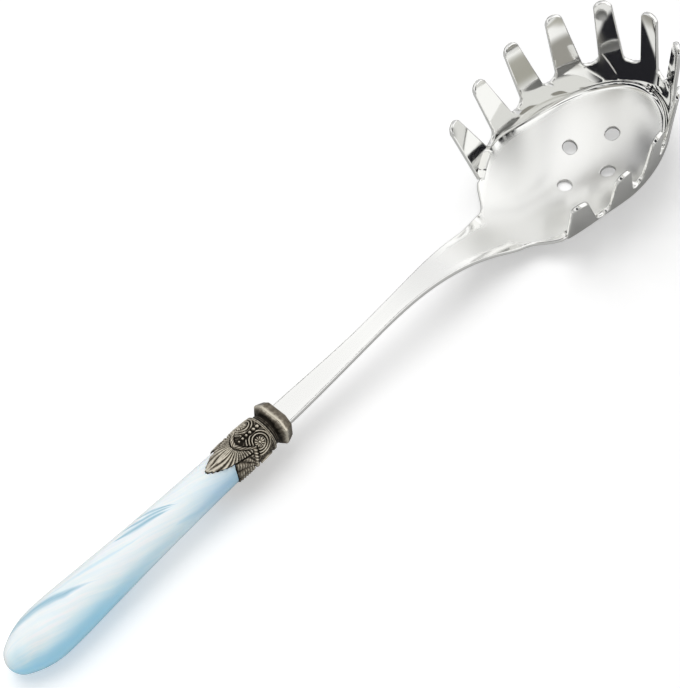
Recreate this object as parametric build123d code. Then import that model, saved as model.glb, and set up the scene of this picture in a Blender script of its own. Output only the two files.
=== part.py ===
from build123d import *
import os
from math import acos, atan2, cos, radians, sin, tan

import numpy as np

# Pasta server: a slotted steel head on a forged shank, a cast collar, a round handle, and the cement
# that holds the tang in the handle. The object lies on a table: +X runs from the butt to the head,
# +Y is across, +Z is up, and the origin is on the table under the middle of the object.
# Lengths are in millimetres and angles in degrees.

# Handle, measured along its own axis from the butt
handle_length = 93.0
handle_radius = 7.8
swell_x = 14.5
butt_radius = 5.4
waist_x = 24.0
waist_radius = 7.53
handle_seat_radius = 5.6
handle_end_radius = 5.25
handle_pitch = 3.05
bore_radius = 3.3
bore_length = 46.0

# Collar
collar_wall = 0.65
sleeve_length = 22.0
cup_floor = 2.4
collar_neck_length = 1.6
collar_neck_radius = 4.9
flange_width = 12.8
flange_height = 11.8
flange_back_bevel = 1.9
flange_land = 0.5
flange_front_bevel = 2.6
flange_back_inset = 1.9
flange_front_inset = 0.9
flange_corner = 3.1
leaf_length = 8.1
leaf_half_width = 4.1
side_leaf_length = 1.3
leaf_x_shares = (0.0, 0.24, 0.47, 0.72, 1.0)
leaf_y_shares = (0.0, 0.37, 0.62, 0.83, 1.0)

# Tang and shank
tang_length = 50.0
tang_width = 5.0
tang_tip_width = 3.0
tang_thickness = 2.0
tang_clearance = 0.05
shank_thickness = 2.2
shank_width = 7.6
waist_width = 6.0
arch_height = 18.5
thinning_x_shares = (0.675, 1.068)
waist_x_share = 0.406
edge_x_shares = (0.572, 0.6637, 0.7738, 0.829, 0.9062, 0.9597, 0.9973)
edge_y_shares = (0.21, 0.264, 0.342, 0.4, 0.51, 0.655, 0.92)
shank_x_shares = (0.378, 0.665, 0.857)
shank_z_shares = (0.875, 0.998, 0.844)

# Bowl
sheet_thickness = 1.5
bowl_centre_reach = 136.2
bowl_half_width = 21.8
bowl_front_radius = 40.0
bowl_back_radius = 44.0
rim_level = 11.5
wall_back_lean = 22.3
side_flare = 12.4
front_flare = 9.6
back_flare = 11.3
fold_radius = 4.0
fall_x_shares = (0.074, 0.285)
fall_z_shares = (0.427, 0.166)
heel_x_share = 0.453
rise_x_shares = (0.685, 0.916, 1.168)
rise_z_shares = (0.251, 0.612, 0.991)
dish_x_shares = (-0.096, 0.095, 0.285, 0.537, 0.832, 1.168)
dish_shares = (0.0, 0.17, 0.556, 0.454, 0.214, 0.0)

# Tines and drain holes
front_tip_height = 53.2
tip_line_slope = 16.7
front_notch_height = 24.7
notch_line_slope = 10.2
notch_radius = 2.75
tip_radius = 3.0
tip_half_width = 2.95
tine_angles = (0.0, 27.3, 52.3, 75.5, 96.8, 118.0)
tip_height_shares = (0.977, 1.0, 0.995, 1.0, 0.998, 1.015)
notch_angles = (13.4, 39.8, 64.2, 86.0, 106.8)
shoulder_angle = 127.0
hole_radius = 2.3
hole_spacing_along = 24.0
hole_spacing_across = 15.4
hole_group_reach = 9.1

overrun = 8.0
rows_along = 40
rows_across = 9

leaf_tip_x = handle_length + cup_floor - sleeve_length
rim_x = handle_length + cup_floor
flange_back_x = rim_x + collar_neck_length
flange_front_x = flange_back_x + flange_back_bevel + flange_land + flange_front_bevel
pitch = radians(handle_pitch)


def smooth_line(stations, values, level_ends=False):
    """Cubic spline through a few stations, as a function; it can run level into and past its ends."""
    x, y = np.array(stations), np.array(values)
    gap, count = np.diff(x), len(x)
    slope = np.diff(y) / gap
    matrix, right = np.eye(count), np.zeros(count)
    for i in range(1, count - 1):
        matrix[i, i - 1:i + 2] = gap[i - 1], 2 * (gap[i - 1] + gap[i]), gap[i]
        right[i] = 6 * (slope[i] - slope[i - 1])
    if level_ends:
        matrix[0, :2] = 2 * gap[0], gap[0]
        matrix[-1, -2:] = gap[-1], 2 * gap[-1]
        right[0], right[-1] = 6 * slope[0], -6 * slope[-1]
    bend = np.linalg.solve(matrix, right)

    def at(place):
        if level_ends:
            place = np.clip(place, x[0], x[-1])
        i = int(np.clip(np.searchsorted(x, place) - 1, 0, count - 2))
        a, b = (x[i + 1] - place) / gap[i], (place - x[i]) / gap[i]
        curve = ((a ** 3 - a) * bend[i] + (b ** 3 - b) * bend[i + 1]) * gap[i] ** 2 / 6
        return float(a * y[i] + b * y[i + 1] + curve)

    return at


def across(x):
    """Plane square to the handle's axis at x, with its own x along +Y."""
    return Plane(origin=(x, 0, 0), x_dir=(0, 1, 0), z_dir=(1, 0, 0))


def handle_body():
    """Solid of revolution: four arcs, each tangent to the one before, and the cone that the collar sits on.

    The first two arcs round the butt and meet where their circles touch, so that the second ends
    level at the swell. The third falls away from the swell, and the last hollows the long taper.
    """
    reach, gain = swell_x - butt_radius, handle_radius - butt_radius
    crown_radius = (reach ** 2 + handle_radius ** 2 - butt_radius ** 2) / (2 * gain)
    away = Vector(-reach, crown_radius - handle_radius).normalized()
    touch = Vector(butt_radius, 0) + away * butt_radius
    seat = (leaf_tip_x, handle_seat_radius)
    butt = TangentArc((0, 0), touch, tangent=(0, 1))
    crown = TangentArc(touch, (swell_x, handle_radius), tangent=butt % 1)
    fall = TangentArc((swell_x, handle_radius), (waist_x, waist_radius), tangent=(1, 0))
    taper = TangentArc((waist_x, waist_radius), seat, tangent=fall % 1)
    closing = Polyline(seat, (handle_length, handle_end_radius), (handle_length, 0), (0, 0))
    outline = [edge for arc in (butt, crown, fall, taper, closing) for edge in arc.edges()]
    return revolve(make_face(Wire(outline)), Axis.X)


def bore_plug():
    """The space of the blind bore up the middle of the handle."""
    return extrude(across(handle_length - bore_length) * Circle(bore_radius), amount=bore_length)


def tang():
    """Flat tang: straight through the collar, then drawn in to a narrower tip."""
    root = across(flange_front_x) * Rectangle(tang_width, tang_thickness)
    entry = across(handle_length) * Rectangle(tang_width, tang_thickness)
    tip = across(flange_front_x - tang_length) * Rectangle(tang_tip_width, tang_thickness)
    return loft([tip, entry], ruled=True) + loft([entry, root], ruled=True)


def leaf_outline():
    """Leaf seen from above: a point at the butt end and scalloped sides up to the notch beside it."""
    right = [(leaf_tip_x + x * leaf_length, y * leaf_half_width)
             for x, y in zip(leaf_x_shares, leaf_y_shares)]
    left = [(x, -y) for x, y in reversed(right)]
    sides = [RadiusArc(a, b, leaf_half_width) for points in (right, left) for a, b in zip(points, points[1:])]
    closing = Polyline(right[-1], (flange_front_x, leaf_half_width),
                       (flange_front_x, -leaf_half_width), left[0])
    return make_face([*(edge for arc in sides for edge in arc.edges()), *closing.edges()])


def sleeve_keeper():
    """The space that the cast sleeve keeps: leaves above and below, blunt leaves beside, and its body."""
    notch_x = leaf_tip_x + leaf_length
    half = leaf_half_width
    leaf = extrude(leaf_outline(), amount=flange_height, both=True)
    side_arc = ThreePointArc((notch_x, -half), (notch_x - side_leaf_length, 0), (notch_x, half))
    side_rest = Polyline((notch_x, half), (rim_x, half), (rim_x, -half), (notch_x, -half))
    side_face = make_face([*side_arc.edges(), *side_rest.edges()])
    side = extrude(Rot(90, 0, 0) * side_face, amount=flange_width, both=True)
    body = extrude(across(notch_x) * Circle(flange_width), amount=flange_front_x)
    return leaf + side + body


def flange_section(x, inset):
    """Rectangle with cut corners, drawn in by the inset."""
    face = Rectangle(flange_width - 2 * inset, flange_height - 2 * inset)
    return across(x) * chamfer(face.vertices(), flange_corner - inset / 2)


def collar():
    """Cast collar: leafed sleeve over the handle, hollow neck and a flange with two bevels."""
    tip_radius_outside = handle_seat_radius + collar_wall
    crown = ThreePointArc((leaf_tip_x, tip_radius_outside), ((leaf_tip_x + rim_x) / 2, tip_radius_outside),
                          (rim_x, handle_end_radius + collar_wall))
    neck_end = (flange_back_x + flange_back_bevel / 2, handle_end_radius)
    neck = Polyline(crown @ 1, (rim_x + collar_neck_length / 3, collar_neck_radius),
                    (flange_back_x, collar_neck_radius), neck_end)
    closing = Polyline(neck_end, (neck_end[0], 0), (leaf_tip_x, 0), crown @ 0)
    turned = revolve(make_face([*crown.edges(), *neck.edges(), *closing.edges()]), Axis.X)
    wide_x = flange_back_x + flange_back_bevel
    flange = loft([flange_section(flange_back_x, flange_back_inset), flange_section(wide_x, 0),
                   flange_section(wide_x + flange_land, 0),
                   flange_section(flange_front_x, flange_front_inset)], ruled=True)
    slot = extrude(across(handle_length - overrun) * Rectangle(tang_width + 2 * tang_clearance,
                                                               tang_thickness + 2 * tang_clearance),
                   amount=flange_front_x)
    return (turned & sleeve_keeper()) + flange - handle_body() - slot


def lay_down(shape, drop):
    """Turns a shape built along the handle's axis up to its pitch and sets it at its height."""
    return Pos(0, 0, drop) * Rot(0, -handle_pitch, 0) * shape


def butt_height():
    """Height of the axis at the butt, with the handle's swell on the table."""
    return -lay_down(handle_body(), 0).bounding_box().min.Z


axis_height = butt_height()
seat_x = flange_front_x * cos(pitch)
seat_z = axis_height + flange_front_x * sin(pitch)
bowl_centre_x = seat_x + bowl_centre_reach
bowl_back_x = bowl_centre_x - bowl_back_radius
bowl_front_x = bowl_centre_x + bowl_front_radius
top_of_space = front_tip_height + overrun


def along_shank(shares):
    """Places along the shank, as shares of its length from the collar to the back of the bowl."""
    return [seat_x + share * (bowl_back_x - seat_x) for share in shares]


def along_bowl(shares):
    """Places along the bowl, as shares of its length from the back to the front."""
    return [bowl_back_x + share * (bowl_front_x - bowl_back_x) for share in shares]


side_heights = [*shank_z_shares, *fall_z_shares, sheet_thickness / arch_height, *rise_z_shares]
side_line = smooth_line(
    [seat_x, *along_shank(shank_x_shares), *along_bowl([*fall_x_shares, heel_x_share, *rise_x_shares])],
    [seat_z + shank_thickness / 2, *(z * arch_height for z in side_heights)])
dish_line = smooth_line(along_bowl(dish_x_shares), dish_shares, level_ends=True)
thickness_line = smooth_line(along_shank(thinning_x_shares), (shank_thickness, sheet_thickness),
                             level_ends=True)


def floor_height(x, y):
    """Top face of the steel: the side line, dished across by a parabola whose depth changes along it."""
    return side_line(x) + dish_line(x) * y * y / bowl_half_width


def floor_normal(x, y):
    """Unit normal of the top face, from small steps along and across."""
    step = sheet_thickness / 100
    along = (floor_height(x + step, y) - floor_height(x - step, y)) / (2 * step)
    aside = (floor_height(x, y + step) - floor_height(x, y - step)) / (2 * step)
    return Vector(-along, -aside, 1).normalized()


def space_above(under):
    """Everything above the top face of the steel, or above its underside."""
    reach = bowl_half_width + top_of_space * tan(radians(side_flare)) + overrun
    rows = []
    for x in np.linspace(seat_x - 2 * overrun, bowl_front_x + 2 * overrun, rows_along):
        row = []
        for y in np.linspace(-reach, reach, rows_across):
            point = Vector(x, y, floor_height(x, y))
            row.append(point - floor_normal(x, y) * thickness_line(x) if under else point)
        rows.append(row)
    face = Face.make_surface_from_array_of_points(rows, tol=sheet_thickness / 150,
                                                  min_deg=3, max_deg=3)
    return extrude(face, amount=top_of_space + overrun, dir=(0, 0, 1))


def ring_point(angle, z, outset=0):
    """Place on the wall at an angle round the bowl from its front, and at a height."""
    rise = z - rim_level
    turn = radians(angle)
    lengthwise, flare = ((bowl_front_radius, front_flare) if cos(turn) >= 0
                         else (bowl_back_radius, back_flare))
    x = bowl_centre_x - rise * tan(radians(wall_back_lean))
    reach = lengthwise + outset + rise * tan(radians(flare))
    half = bowl_half_width + outset + rise * tan(radians(side_flare))
    return Vector(x + reach * cos(turn), half * sin(turn), z)


def ring_section(z, outset):
    """Egg outline of the wall at a height: a front and a back half ellipse."""
    rise = z - rim_level
    centre = (bowl_centre_x - rise * tan(radians(wall_back_lean)), 0, z)
    half = bowl_half_width + outset + rise * tan(radians(side_flare))
    front = bowl_front_radius + outset + rise * tan(radians(front_flare))
    back = bowl_back_radius + outset + rise * tan(radians(back_flare))
    arcs = [EllipticalCenterArc(centre, front, half, -90, arc_size=180),
            EllipticalCenterArc(centre, back, half, 90, arc_size=180)]
    return make_face([edge for arc in arcs for edge in arc.edges()])


def egg_space(outset):
    """Leaning, flaring egg shape from below the bowl to above the tines."""
    return loft([ring_section(-overrun, outset), ring_section(top_of_space, outset)], ruled=True)


def wall_frame(angle, place):
    """Plane in the wall at a place on it: its own y runs up the wall and its z points out."""
    step = sheet_thickness
    up = (ring_point(angle, place.Z + step) - ring_point(angle, place.Z)).normalized()
    aside = ring_point(angle + 1, place.Z) - ring_point(angle - 1, place.Z)
    outward = aside.cross(up).normalized()
    return Plane(origin=place, x_dir=up.cross(outward), z_dir=outward)


def on_slope(angle, front_height, slope):
    """Place where the wall's line at an angle meets a plane that falls away from the front."""
    low, high = ring_point(angle, 0), ring_point(angle, top_of_space)
    front_low, front_high = ring_point(0, 0), ring_point(0, top_of_space)
    front = front_low + (front_high - front_low) * (front_height / top_of_space)
    fall = tan(radians(slope))
    gap_low = low.Z - front_height - fall * (low.X - front.X)
    gap_high = high.Z - front_height - fall * (high.X - front.X)
    return low + (high - low) * (gap_low / (gap_low - gap_high))


def tip_frame(angle):
    """Plane in the wall with its origin at the tip of the tine at this angle."""
    height = front_tip_height * tip_height_shares[tine_angles.index(angle)]
    return wall_frame(angle, on_slope(angle, height, tip_line_slope))


def tip_shoulder(angle, side):
    """Place where the round of a tip meets the tine's edge, on its rear (1) or front (-1) side."""
    return tip_frame(angle).from_local_coords(Vector(side * tip_half_width, -tip_radius, 0))


def notch_side(target, side):
    """Line that touches the round bottom of a notch on one side and runs on past a tip's shoulder."""
    rise, run = target.Y - notch_radius, side * target.X
    distance = (rise ** 2 + run ** 2) ** 0.5
    touch = atan2(rise, run) - acos(notch_radius / distance)
    foot = Vector(side * notch_radius * cos(touch), notch_radius * (1 + sin(touch)))
    return foot, foot + (Vector(target.X, target.Y) - foot) * 2


def notch_cutter(angle, front_tine, rear_tine):
    """Slot between two tines: a round bottom, and straight sides that run up to the two tips."""
    frame = wall_frame(angle, on_slope(angle, front_notch_height, notch_line_slope))
    front_foot, front_top = notch_side(frame.to_local_coords(tip_shoulder(front_tine, 1)), -1)
    rear_foot, rear_top = notch_side(frame.to_local_coords(tip_shoulder(rear_tine, -1)), 1)
    middle = Vector(0, notch_radius)
    opening = make_face(Polyline(middle, front_foot, front_top, rear_top, rear_foot, close=True))
    profile = Pos(0, notch_radius) * Circle(notch_radius) + opening
    return extrude(frame * profile, amount=notch_radius + sheet_thickness, both=True)


def tip_cutter(angle):
    """Trims a tine to a round tip."""
    wide = tip_radius + notch_radius
    block = Pos(0, -tip_radius) * Rectangle(2 * wide, 2 * tip_radius + overrun,
                                            align=(Align.CENTER, Align.MIN))
    profile = block - Pos(0, -tip_radius) * Circle(tip_radius)
    return extrude(tip_frame(angle) * profile, amount=notch_radius + sheet_thickness, both=True)


def shoulder_place():
    """Where the last tine's back edge leaves the edge of the steel."""
    z = rim_level
    for _ in range(rows_along):
        place = ring_point(shoulder_angle, z)
        z = (z + floor_height(place.X, place.Y)) / 2
    return ring_point(shoulder_angle, z, sheet_thickness)


def space_off_tines():
    """Where the wall is cut away: behind the last tines, over the neck and shank, and over all tips."""
    foot = shoulder_place()
    edge = tip_shoulder(tine_angles[-1], 1)
    fall = tan(radians(tip_line_slope))
    front_x, ahead, behind = ring_point(0, front_tip_height).X, bowl_front_x + 2 * overrun, seat_x - 2 * overrun
    above = front_tip_height * max(tip_height_shares) + tip_radius
    run, rise = edge.X - foot.X, edge.Z - foot.Z
    climb = (above + fall * (foot.X - front_x) - foot.Z) / (rise - fall * run)
    corner = (foot.X + run * climb, foot.Z + rise * climb)
    ceiling = 2 * top_of_space
    outline = Polyline((foot.X, foot.Z), corner, (ahead, above + fall * (ahead - front_x)),
                       (ahead, ceiling), (behind, ceiling), (behind, -2 * overrun),
                       (foot.X, -2 * overrun), close=True)
    return extrude(Rot(90, 0, 0) * make_face(outline), amount=2 * bowl_half_width, both=True)


def neck_space():
    """Outline of the shank, neck and shoulders seen from above, carried up."""
    foot = shoulder_place()
    run = foot.X - seat_x
    edge = [(seat_x - overrun, shank_width / 2), (seat_x, shank_width / 2),
            (seat_x + waist_x_share * run, waist_width / 2),
            *((seat_x + x * run, y * foot.Y) for x, y in zip(edge_x_shares, edge_y_shares)),
            (foot.X, foot.Y)]
    left = Spline(edge)
    right = Spline([(x, -y) for x, y in reversed(edge)])
    inside = Polyline(edge[-1], (bowl_centre_x, 0), (foot.X, -foot.Y))
    end = Line((edge[0][0], -edge[0][1]), edge[0])
    face = make_face([*left.edges(), *inside.edges(), *right.edges(), *end.edges()])
    return Pos(0, 0, -overrun) * extrude(face, amount=top_of_space)


def fold_edges(shape):
    """Edges where the leaning wall meets the dished floor."""
    return [edge for edge in shape.edges()
            if edge.bounding_box().max.Z < front_notch_height and edge.length > bowl_half_width]


def drain_holes():
    """Four punched holes at the corners of a rhombus, square to the sheet."""
    middle = bowl_centre_x + hole_group_reach
    places = [(middle - hole_spacing_along / 2, 0), (middle + hole_spacing_along / 2, 0),
              (middle, hole_spacing_across / 2), (middle, -hole_spacing_across / 2)]
    punches = []
    for x, y in places:
        frame = Plane(origin=(x, y, floor_height(x, y)), z_dir=floor_normal(x, y))
        punches.append(extrude(frame * Circle(hole_radius), amount=2 * sheet_thickness, both=True))
    return punches


def server_head():
    """Pressed bowl with its tines, neck, shank and tang in one piece of steel."""
    above_top = space_above(False)
    above_underside = space_above(True)
    cavity = egg_space(0) & above_top
    cavity = fillet(fold_edges(cavity), fold_radius)
    outside = egg_space(sheet_thickness) & above_underside
    outside = fillet(fold_edges(outside), fold_radius + sheet_thickness)
    neck = neck_space()
    wall = outside - space_off_tines() - cavity
    for angle, front_tine, rear_tine in zip(notch_angles, tine_angles, tine_angles[1:]):
        cutter = notch_cutter(angle, front_tine, rear_tine)
        wall = wall - cutter - mirror(cutter, about=Plane.XZ)
    for angle in tine_angles:
        cutter = tip_cutter(angle)
        wall = wall - cutter - mirror(cutter, about=Plane.XZ)
    steel = wall + ((neck & above_underside) - above_top)
    for punch in drain_holes():
        steel -= punch
    behind_seat = lay_down(extrude(across(flange_front_x) * Circle(2 * flange_width),
                                   amount=-2 * overrun), axis_height)
    return steel - behind_seat + lay_down(tang(), axis_height)


def main():
    os.makedirs("parts", exist_ok=True)
    plug = bore_plug()
    pieces = {
        "server_head": server_head(),
        "collar": lay_down(collar(), axis_height),
        "handle": lay_down(handle_body() - plug, axis_height),
        "tang_cement": lay_down(plug - tang(), axis_height),
    }
    box = Compound(children=[piece.solid() for piece in pieces.values()]).bounding_box()
    for name, piece in pieces.items():
        export_step(Pos(-box.center().X, 0, -box.min.Z) * piece.solid(), f"parts/{name}.step")
        print(name, round(piece.volume), piece.is_valid)
    print("length", box.size.X, "width", box.size.Y, "height", box.size.Z, "butt at", box.min.X)


main()
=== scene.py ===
from math import cos, degrees, radians, sin, tan

import bpy
import numpy as np
from mathutils import Euler, Matrix, Vector


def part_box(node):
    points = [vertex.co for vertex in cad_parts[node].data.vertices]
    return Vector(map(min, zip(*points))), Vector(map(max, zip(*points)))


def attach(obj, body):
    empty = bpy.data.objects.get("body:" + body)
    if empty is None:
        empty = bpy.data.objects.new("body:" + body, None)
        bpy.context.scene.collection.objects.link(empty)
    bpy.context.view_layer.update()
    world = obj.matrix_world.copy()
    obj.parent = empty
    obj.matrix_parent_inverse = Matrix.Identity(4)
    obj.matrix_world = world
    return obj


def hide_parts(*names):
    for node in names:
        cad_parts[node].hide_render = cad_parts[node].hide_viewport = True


# Pasta server: polished steel head, antique collar and pearl handle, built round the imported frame.
# Shapes are worked out in millimetres and go into the meshes in metres. Angles are in degrees.

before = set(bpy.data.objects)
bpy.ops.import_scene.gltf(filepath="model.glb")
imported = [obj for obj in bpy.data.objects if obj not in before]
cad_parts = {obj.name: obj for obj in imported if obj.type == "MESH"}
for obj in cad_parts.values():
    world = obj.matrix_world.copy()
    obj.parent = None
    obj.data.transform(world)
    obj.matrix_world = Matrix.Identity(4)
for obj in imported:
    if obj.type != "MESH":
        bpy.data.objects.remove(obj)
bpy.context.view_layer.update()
MM = 0.001
butt_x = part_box("handle")[0].x / MM

# Handle and collar, measured along the handle's own axis from the butt
handle_length = 93.0
handle_radius = 7.8
swell_x = 14.5
butt_radius = 5.4
waist_x = 24.0
waist_radius = 7.53
handle_seat_radius = 5.6
handle_end_radius = 5.25
handle_pitch = 3.05
butt_trim = 0.012
cup_floor = 2.4
sleeve_length = 22.0
collar_wall = 0.65
collar_neck_length = 1.6
collar_neck_radius = 4.9
flange_width = 12.8
flange_height = 11.8
flange_back_bevel = 1.9
flange_land = 0.5
flange_front_bevel = 2.6
flange_back_inset = 1.9
flange_front_inset = 0.9
flange_corner = 2.7
leaf_length = 8.1
leaf_half_width = 4.1
side_leaf_length = 1.3
leaf_x_shares = (0.0, 0.24, 0.47, 0.72, 1.0)
leaf_y_shares = (0.0, 0.37, 0.62, 0.83, 1.0)

# Shank
shank_thickness = 2.2
shank_width = 7.6
waist_width = 6.0
arch_height = 18.5
thinning_x_shares = (0.675, 1.068)
waist_x_share = 0.406
edge_x_shares = (0.572, 0.6637, 0.7738, 0.829, 0.9062, 0.9597, 0.9973)
edge_y_shares = (0.21, 0.264, 0.342, 0.4, 0.51, 0.655, 0.92)
shank_x_shares = (0.378, 0.665, 0.857)
shank_z_shares = (0.875, 0.998, 0.844)

# Bowl
sheet_thickness = 1.5
bowl_centre_reach = 136.2
bowl_half_width = 21.8
bowl_front_radius = 40.0
bowl_back_radius = 44.0
rim_level = 11.5
wall_back_lean = 22.3
side_flare = 12.4
front_flare = 9.6
back_flare = 11.3
fold_radius = 2.4
fold_fade = 9.0
wall_thinning = 0.12
bend_thinning = 0.35
bend_zone_start = 12.0
bend_zone_end = 2.0
bend_zone_top = 17.5
edge_rounding = 0.4
tang_overlap = 3.0
satin_fade = 60.0
satin_angles = (114.0, 131.0)
fall_x_shares = (0.074, 0.285)
fall_z_shares = (0.427, 0.166)
heel_x_share = 0.453
rise_x_shares = (0.685, 0.916, 1.168)
rise_z_shares = (0.251, 0.612, 0.991)
dish_x_shares = (-0.096, 0.095, 0.285, 0.537, 0.832, 1.168)
dish_shares = (0.0, 0.17, 0.556, 0.454, 0.214, 0.0)

# Tines and drain holes
front_tip_height = 53.2
tip_line_slope = 16.7
front_notch_height = 24.7
notch_line_slope = 10.2
notch_radius = 2.75
tip_radius = 3.0
tip_half_width = 2.95
tine_angles = (0.0, 27.3, 52.3, 75.5, 96.8, 118.0)
tip_height_shares = (0.977, 1.0, 0.995, 1.0, 0.998, 1.015)
notch_angles = (13.4, 39.8, 64.2, 86.0, 106.8)
shoulder_angle = 127.0
hole_radius = 2.3
hole_spacing_along = 24.0
hole_spacing_across = 15.4
hole_group_reach = 9.1
hole_margin = 1.6

# Rows and columns of the meshes
band_rows, base_rows, arc_rows, side_rows, tip_rows = 8, 9, 9, 20, 9
tine_columns = 22
floor_columns = 48
shank_rows = 120
handle_columns = 96
flange_columns = 192

pitch = radians(handle_pitch)
lean_back, side_growth, front_growth, back_growth = np.tan(
    np.radians((wall_back_lean, side_flare, front_flare, back_flare)))
rim_x = handle_length + cup_floor
leaf_tip_x = rim_x - sleeve_length
flange_back_x = rim_x + collar_neck_length
flange_front_x = flange_back_x + flange_back_bevel + flange_land + flange_front_bevel


def unit(vectors):
    """Vectors scaled to length 1."""
    return vectors / np.maximum(np.linalg.norm(vectors, axis=-1, keepdims=True), 1e-12)


def smooth_line(stations, values, level_ends=False):
    """Cubic spline through a few stations, as a function of an array, natural or level at its ends."""
    x, y = np.array(stations, float), np.array(values, float)
    gap, count = np.diff(x), len(x)
    slope = np.diff(y) / gap
    matrix, right = np.eye(count), np.zeros(count)
    for i in range(1, count - 1):
        matrix[i, i - 1:i + 2] = gap[i - 1], 2 * (gap[i - 1] + gap[i]), gap[i]
        right[i] = 6 * (slope[i] - slope[i - 1])
    if level_ends:
        matrix[0, :2] = 2 * gap[0], gap[0]
        matrix[-1, -2:] = gap[-1], 2 * gap[-1]
        right[0], right[-1] = 6 * slope[0], -6 * slope[-1]
    bend = np.linalg.solve(matrix, right)

    def at(place):
        place = np.asarray(place, float)
        if level_ends:
            place = np.clip(place, x[0], x[-1])
        i = np.clip(np.searchsorted(x, place) - 1, 0, count - 2)
        a, b = (x[i + 1] - place) / gap[i], (place - x[i]) / gap[i]
        curve = ((a ** 3 - a) * bend[i] + (b ** 3 - b) * bend[i + 1]) * gap[i] ** 2 / 6
        return a * y[i] + b * y[i + 1] + curve

    return at


def smoothstep(low, high, value):
    """0 below low, 1 above high, and the cubic 3t^2 - 2t^3 between."""
    t = np.clip((value - low) / (high - low), 0, 1)
    return t * t * (3 - 2 * t)


def arc(start, heading, end, rows):
    """Circle arc that leaves start along heading and ends at end; gives its points and its last heading.

    The sweep is twice the angle between heading and chord, and the radius is the chord's square
    over twice its part across the heading.
    """
    start, heading, chord = np.array(start, float), np.array(heading, float), np.subtract(end, start)
    side = np.array([-heading[1], heading[0]])
    sweep = 2 * np.arctan2(chord @ side, chord @ heading)
    radius = chord @ chord / (2 * chord @ side)
    turn = np.linspace(0, sweep, rows)[:, None]
    points = start + radius * (np.sin(turn) * heading + (1 - np.cos(turn)) * side)
    return points, np.cos(sweep) * heading + np.sin(sweep) * side


def handle_outline(rows):
    """Places and radii along the handle: four arcs, each tangent to the one before."""
    reach, gain = swell_x - butt_radius, handle_radius - butt_radius
    crown_radius = (reach ** 2 + handle_radius ** 2 - butt_radius ** 2) / (2 * gain)
    touch = np.array([butt_radius, 0]) + butt_radius * unit(np.array([-reach, crown_radius - handle_radius]))
    butt, heading = arc((0, 0), (0, 1), touch, rows)
    crown, _ = arc(touch, heading, (swell_x, handle_radius), rows)
    fall, heading = arc((swell_x, handle_radius), (1, 0), (waist_x, waist_radius), rows)
    taper, _ = arc((waist_x, waist_radius), heading, (leaf_tip_x, handle_seat_radius), 2 * rows)
    outline = np.concatenate([butt[:-1], crown[:-1], fall[:-1], taper])
    return outline[:, 0], outline[:, 1]


outline_x, outline_r = handle_outline(100)
axis_height = float(np.max(outline_r * np.cos(pitch) - outline_x * np.sin(pitch)))
seat_x = butt_x + flange_front_x * cos(pitch)
seat_z = axis_height + flange_front_x * np.sin(pitch)
bowl_centre_x = seat_x + bowl_centre_reach
bowl_back_x = bowl_centre_x - bowl_back_radius
bowl_front_x = bowl_centre_x + bowl_front_radius


def along_shank(shares):
    """Places along the shank, as shares of its length from the collar to the back of the bowl."""
    return [seat_x + share * (bowl_back_x - seat_x) for share in shares]


def along_bowl(shares):
    """Places along the bowl, as shares of its length from the back to the front."""
    return [bowl_back_x + share * (bowl_front_x - bowl_back_x) for share in shares]


side_heights = [*shank_z_shares, *fall_z_shares, sheet_thickness / arch_height, *rise_z_shares]
side_line = smooth_line(
    [seat_x, *along_shank(shank_x_shares), *along_bowl([*fall_x_shares, heel_x_share, *rise_x_shares])],
    [seat_z + shank_thickness / 2, *(z * arch_height for z in side_heights)])
dish_line = smooth_line(along_bowl(dish_x_shares), dish_shares, level_ends=True)
thickness_line = smooth_line(
    along_shank(thinning_x_shares), (shank_thickness, sheet_thickness), level_ends=True)


def floor_height(x, y):
    """Top face of the steel: the side line plus a parabola across, whose depth changes along it."""
    return side_line(x) + dish_line(x) * y * y / bowl_half_width


def wall_ellipse(in_front, rise):
    """Half length and half width of the wall's ellipse, by its height over the rim level."""
    front, back = bowl_front_radius + rise * front_growth, bowl_back_radius + rise * back_growth
    return np.where(in_front, front, back), bowl_half_width + rise * side_growth


def ring(turn, z):
    """Inner face of the wall: at each height a half ellipse in front and one behind.

    The ellipses grow upwards and lean back.
    """
    rise = z - rim_level
    centre = bowl_centre_x - rise * lean_back
    length, half = wall_ellipse(np.cos(turn) >= 0, rise)
    return np.stack([centre + length * np.cos(turn), half * np.sin(turn), z + 0 * turn], -1)


def unring(places):
    """Turn and height of points near the wall, and how far past it they lie as a share of its ellipse."""
    x, y, z = np.moveaxis(places, -1, 0)
    rise = z - rim_level
    x = x - bowl_centre_x + rise * lean_back
    length, half = wall_ellipse(x >= 0, rise)
    return np.arctan2(y / half, x / length), z, np.hypot(x / length, y / half) - 1


def onto_wall(places, outward):
    """Slides points along one direction onto the wall, by its slope, and gives their turn and height."""
    slide, step = np.zeros(places.shape[:-1]), 0.01
    for _ in range(8):
        here = unring(places + slide[..., None] * outward)[2]
        ahead = unring(places + (slide[..., None] + step) * outward)[2]
        slide = slide - here * step / (ahead - here)
    turn, z, _ = unring(places + slide[..., None] * outward)
    return turn, z


def fold_level(turn):
    """Height where the wall meets the floor, by repeated halving of the gap."""
    z = np.full(np.shape(turn), rim_level)
    for _ in range(40):
        place = ring(turn, z)
        z = (z + floor_height(place[..., 0], place[..., 1])) / 2
    return z


def wall_frame(turn, z):
    """A place on the wall with its directions: aside, up along the wall's straight line, and outward."""
    place = ring(turn, z)
    up = unit(ring(turn, z + sheet_thickness) - place)
    aside = ring(turn + radians(1), z) - ring(turn - radians(1), z)
    outward = unit(np.cross(aside, up))
    return place, np.cross(up, outward), up, outward


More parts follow.
